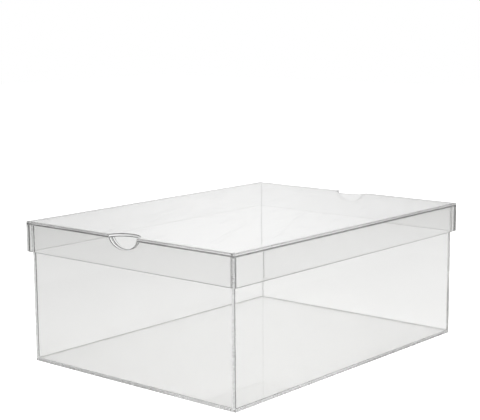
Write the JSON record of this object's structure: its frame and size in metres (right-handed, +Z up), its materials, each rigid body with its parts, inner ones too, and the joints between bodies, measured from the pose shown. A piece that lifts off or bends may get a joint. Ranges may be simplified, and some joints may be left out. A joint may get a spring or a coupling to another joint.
{
  "type": "shoe box",
  "caption": "Clear acrylic shoe box: a bonded open base and a lift-off lid with a deep skirt, finger notches in both ends.",
  "frame": {"origin": "middle of the footprint, on the surface the box stands on", "axes": "+X along the length, +Y across the width, +Z up through the lid"},
  "size_m": [0.358, 0.268, 0.14],
  "materials": {
    "clear_acrylic": "clear cast acrylic sheet, 3 mm, with polished faces and finely sawn edges"
  },
  "bodies": {
    "base": {"base_panel": "clear_acrylic", "front_wall": "clear_acrylic", "back_wall": "clear_acrylic", "left_wall": "clear_acrylic", "right_wall": "clear_acrylic"},
    "lid": {"lid_top": "clear_acrylic", "lid_front_skirt": "clear_acrylic", "lid_back_skirt": "clear_acrylic", "lid_left_skirt": "clear_acrylic", "lid_right_skirt": "clear_acrylic"}
  },
  "joints": [
    {"name": "lid_lift", "type": "slide", "parent": "base", "child": "lid", "axis": [0, 0, 1], "range_m": [0, 0.18]}
  ]
}
